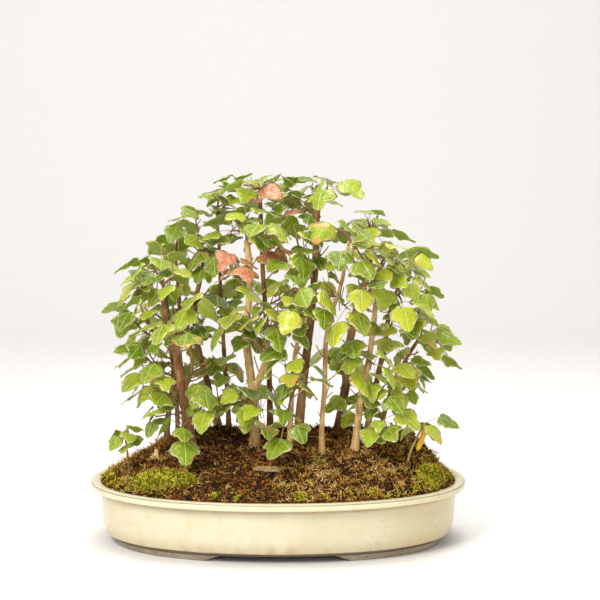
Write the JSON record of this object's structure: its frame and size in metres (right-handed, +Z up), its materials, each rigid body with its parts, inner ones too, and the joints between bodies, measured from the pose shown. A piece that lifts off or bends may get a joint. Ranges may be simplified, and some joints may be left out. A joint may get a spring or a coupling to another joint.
{
  "type": "forest planting bonsai",
  "caption": "Group of young trident maples with leafy shoots, planted in mounded soil in a shallow oval cream glazed pot on a low foot.",
  "frame": {"origin": "middle of the pot's footprint, on the ground", "axes": "+X along the pot's length towards the right end as seen from the front, +Y to the back, +Z up; the front is -Y"},
  "size_m": [0.4, 0.26, 0.3908],
  "materials": {
    "glaze": "gloss",
    "mesh": "matte",
    "soil": "matte",
    "bark_tan": "matte",
    "bark_brown": "matte",
    "chip": "matte",
    "moss": "matte",
    "leaf_green": "satin",
    "leaf_red": "satin"
  },
  "bodies": {
    "root": {"bark_chip": "chip", "drain_mesh_left": "mesh", "drain_mesh_right": "mesh", "maple_01_shoot_1": "leaf_green", "maple_01_shoot_2": "leaf_green", "maple_01_shoot_3": "leaf_green", "maple_01_trunk": "bark_brown", "maple_02_shoot_1": "leaf_green", "maple_02_shoot_2": "leaf_green", "maple_02_shoot_3": "leaf_green", "maple_02_shoot_4": "leaf_green", "maple_02_trunk": "bark_brown", "maple_03_shoot_1": "leaf_green", "maple_03_shoot_2": "leaf_green", "maple_03_trunk": "bark_brown", "maple_04_shoot_1": "leaf_green", "maple_04_shoot_2": "leaf_green", "maple_04_trunk": "bark_brown", "maple_05_shoot_1": "leaf_green", "maple_05_shoot_2": "leaf_green", "maple_05_shoot_3": "leaf_green", "maple_05_trunk": "bark_brown", "maple_06_shoot_1": "leaf_green", "maple_06_shoot_2": "leaf_red", "maple_06_shoot_3": "leaf_green", "maple_06_shoot_4": "leaf_green", "maple_06_shoot_5": "leaf_green", "maple_06_trunk": "bark_tan", "maple_07_shoot_1": "leaf_green", "maple_07_shoot_2": "leaf_red", "maple_07_shoot_3": "leaf_green", "maple_07_trunk": "bark_brown", "maple_08_shoot_1": "leaf_green", "maple_08_shoot_2": "leaf_green", "maple_08_trunk": "bark_tan", "maple_09_shoot_1": "leaf_green", "maple_09_shoot_2": "leaf_green", "maple_09_trunk": "bark_brown", "maple_10_shoot_1": "leaf_green", "maple_10_shoot_2": "leaf_green", "maple_10_trunk": "bark_tan", "maple_11_shoot_1": "leaf_green", "maple_11_shoot_2": "leaf_green", "maple_11_shoot_3": "leaf_green", "maple_11_trunk": "bark_brown", "maple_12_shoot_1": "leaf_green", "maple_12_shoot_2": "leaf_green", "maple_12_trunk": "bark_tan", "maple_13_shoot_1": "leaf_green", "maple_13_shoot_2": "leaf_green", "maple_13_trunk": "bark_brown", "maple_14_shoot_1": "leaf_green", "maple_14_shoot_2": "leaf_green", "maple_14_trunk": "bark_brown", "moss_left": "moss", "moss_right": "moss", "pot": "glaze", "sapling_left": "leaf_green", "sapling_right": "leaf_green", "soil": "soil"}
  },
  "joints": []
}
